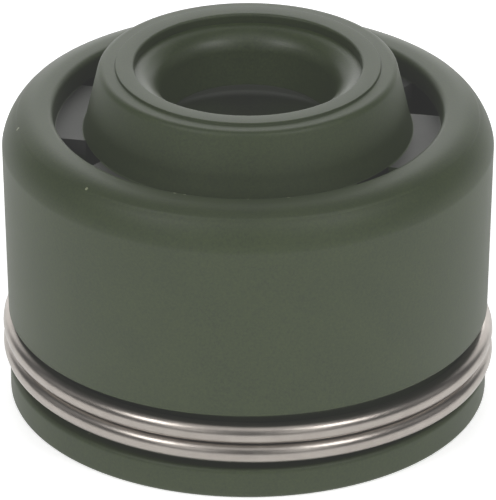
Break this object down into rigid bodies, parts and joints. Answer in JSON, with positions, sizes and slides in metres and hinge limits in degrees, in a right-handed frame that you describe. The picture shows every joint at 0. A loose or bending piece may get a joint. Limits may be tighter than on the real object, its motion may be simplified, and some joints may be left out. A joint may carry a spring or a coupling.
{
  "type": "valve stem seal",
  "caption": "Rubber cap for a valve guide with a raised neck holding a stem lip, a steel stiffening ring in a recess round it, and a wire ring clamping its skirt.",
  "frame": {"origin": "centre of the foot's flat face, which the seal stands on", "axes": "+Z along the bore's axis, from the foot towards the neck; +X is across, and the wire ring's gap faces +Y"},
  "size_m": [0.0202, 0.0202, 0.0147],
  "materials": {
    "rubber": "matt grey-green fluoro rubber with a fine moulded grain",
    "insert_steel": "dull phosphated sheet",
    "wire_steel": "drawn spring wire, smooth"
  },
  "bodies": {
    "root": {"seal_body": "rubber", "stiffener_insert": "insert_steel", "clamp_ring": "wire_steel"}
  },
  "joints": []
}
